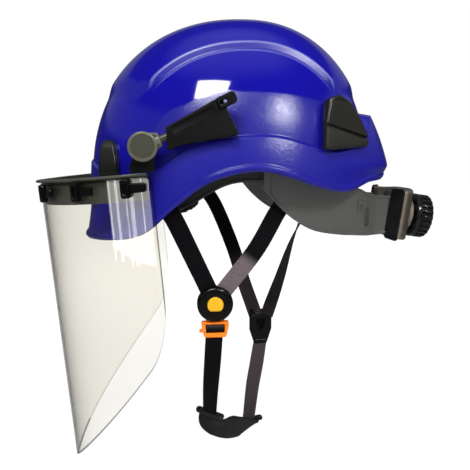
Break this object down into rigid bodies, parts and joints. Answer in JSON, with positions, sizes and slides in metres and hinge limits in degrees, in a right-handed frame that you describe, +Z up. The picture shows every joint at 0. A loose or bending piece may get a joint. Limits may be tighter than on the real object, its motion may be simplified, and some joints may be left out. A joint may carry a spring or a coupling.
{
  "type": "hard hat",
  "caption": "Climbing-style safety helmet with a clear flip-up face shield on side arms, a nape ratchet headband and a Y chin strap with a release buckle and chin cup.",
  "frame": {"origin": "centre of the headband ring, at the height of its middle", "axes": "-X to the wearer's front, -Y to the wearer's left, +Z up"},
  "size_m": [0.3803, 0.2366, 0.4133],
  "materials": {
    "shell_blue": "gloss ABS with a textured rim band",
    "clip_olive": "satin moulded nylon",
    "band_grey": "satin moulded polypropylene",
    "foam_black": "foam under knitted cloth",
    "web_grey": "woven polyester webbing",
    "ratchet_taupe": "satin moulded nylon",
    "black_nylon": "moulded nylon",
    "steel": "plated steel",
    "arm_olive": "satin moulded nylon",
    "visor_clear": "clear polycarbonate",
    "web_black": "woven polyester webbing",
    "release_yellow": "textured acetal",
    "tongue_orange": "moulded acetal",
    "cup_black": "soft moulded elastomer"
  },
  "bodies": {
    "helmet": {"shell": "shell_blue", "front_clip_left": "clip_olive", "front_clip_right": "clip_olive", "rear_clip_left": "clip_olive", "rear_clip_right": "clip_olive", "headband": "band_grey", "sweatband": "foam_black", "crown_straps": "web_grey", "crown_pad": "foam_black", "suspension_hangers": "band_grey", "shell_lugs": "band_grey", "nape_wing_left": "band_grey", "nape_wing_right": "band_grey", "arm_plate_left": "black_nylon", "arm_plate_right": "black_nylon", "strap_anchors": "black_nylon", "front_strap_left": "web_black", "rear_strap_left": "web_black", "front_strap_right": "web_black", "rear_strap_right": "web_black", "buckle_body": "black_nylon", "button_spring": "steel", "lower_strap_left": "web_black", "strap_divider": "black_nylon", "lower_strap_right": "web_black", "chin_cup": "cup_black"},
    "visor_arms": {"pivot_arm_left": "arm_olive", "pivot_arm_right": "arm_olive", "pivot_pin_left": "steel", "pivot_pin_right": "steel"},
    "visor": {"visor_bracket_left": "black_nylon", "visor_bracket_right": "black_nylon", "brow_frame": "black_nylon", "visor_sheet": "visor_clear"},
    "latch_left": {"latch_clip_left": "black_nylon"},
    "latch_right": {"latch_clip_right": "black_nylon"},
    "ratchet": {"ratchet_housing": "ratchet_taupe", "nape_pad": "foam_black", "pawl_ring": "steel"},
    "knob": {"ratchet_knob": "black_nylon", "knob_shaft": "steel", "ratchet_pinion": "steel"},
    "rack_left": {"size_rack_left": "band_grey"},
    "rack_right": {"size_rack_right": "band_grey"},
    "button": {"release_button": "release_yellow"},
    "tongue": {"buckle_tongue": "tongue_orange"},
    "lock_1": {"visor_lock_1": "black_nylon"},
    "lock_2": {"visor_lock_2": "black_nylon"},
    "lock_3": {"visor_lock_3": "black_nylon"},
    "lock_4": {"visor_lock_4": "black_nylon"},
    "lock_5": {"visor_lock_5": "black_nylon"},
    "lock_6": {"visor_lock_6": "black_nylon"}
  },
  "joints": [
    {"name": "arm_slide", "type": "slide", "parent": "helmet", "child": "visor_arms", "axis": [-0.9272, 0, -0.3746], "range_m": [0, 0.008]},
    {"name": "visor_tilt", "type": "hinge", "parent": "visor_arms", "child": "visor", "pos_m": [-0.089, 0, 0.05], "axis": [0, 1, 0], "range_deg": [0, 95]},
    {"name": "lock_1_turn", "type": "hinge", "parent": "visor", "child": "lock_1", "pos_m": [-0.10255, 0.09953, 0.0177], "axis": [-0.1964, 0.9804, -0.0172], "range_deg": [0, 90]},
    {"name": "lock_2_turn", "type": "hinge", "parent": "visor", "child": "lock_2", "pos_m": [-0.14163, 0.08336, 0.01428], "axis": [-0.5501, 0.8337, -0.0481], "range_deg": [0, 90]},
    {"name": "lock_3_turn", "type": "hinge", "parent": "visor", "child": "lock_3", "pos_m": [-0.17289, 0.05088, 0.01154], "axis": [-0.8503, 0.521, -0.0744], "range_deg": [0, 90]},
    {"name": "lock_4_turn", "type": "hinge", "parent": "visor", "child": "lock_4", "pos_m": [-0.17289, -0.05088, 0.01154], "axis": [0.8503, 0.521, 0.0744], "range_deg": [0, 90]},
    {"name": "lock_5_turn", "type": "hinge", "parent": "visor", "child": "lock_5", "pos_m": [-0.14163, -0.08336, 0.01428], "axis": [0.5501, 0.8337, 0.0481], "range_deg": [0, 90]},
    {"name": "lock_6_turn", "type": "hinge", "parent": "visor", "child": "lock_6", "pos_m": [-0.10255, -0.09953, 0.0177], "axis": [0.1964, 0.9804, 0.0172], "range_deg": [0, 90]},
    {"name": "latch_left_press", "type": "slide", "parent": "helmet", "child": "latch_left", "axis": [0.8932, -0.1017, 0.4381], "range_m": [0, 0.003], "stiffness_N_per_m": 400},
    {"name": "latch_right_press", "type": "slide", "parent": "helmet", "child": "latch_right", "axis": [0.8932, 0.1017, 0.4381], "range_m": [0, 0.003], "stiffness_N_per_m": 400},
    {"name": "nape_slide", "type": "slide", "parent": "helmet", "child": "ratchet", "axis": [-1, 0, 0], "range_m": [0, 0.012], "deforming": ["nape_wing_left", "nape_wing_right"]},
    {"name": "knob_turn", "type": "hinge", "parent": "ratchet", "child": "knob", "pos_m": [0.116, 0, -0.008], "axis": [-0.9903, 0, 0.1392], "range_deg": [0, 115]},
    {"name": "rack_left_slide", "type": "slide", "parent": "ratchet", "child": "rack_left", "axis": [0, 1, 0], "range_m": [0, 0.012]},
    {"name": "rack_right_slide", "type": "slide", "parent": "ratchet", "child": "rack_right", "axis": [0, -1, 0], "range_m": [0, 0.012]},
    {"name": "button_press", "type": "slide", "parent": "helmet", "child": "button", "axis": [0, 1, 0], "range_m": [0, 0.0025], "stiffness_N_per_m": 600, "deforming": ["button_spring"]},
    {"name": "tongue_release", "type": "slide", "parent": "helmet", "child": "tongue", "axis": [0, 0, -1], "range_m": [0, 0.014], "deforming": ["lower_strap_left"]}
  ],
  "couplings": [
    {"joint": "knob_turn", "follows": "nape_slide", "rad_per_m": 166.67},
    {"joint": "rack_left_slide", "follows": "nape_slide", "ratio": 1},
    {"joint": "rack_right_slide", "follows": "nape_slide", "ratio": 1}
  ]
}
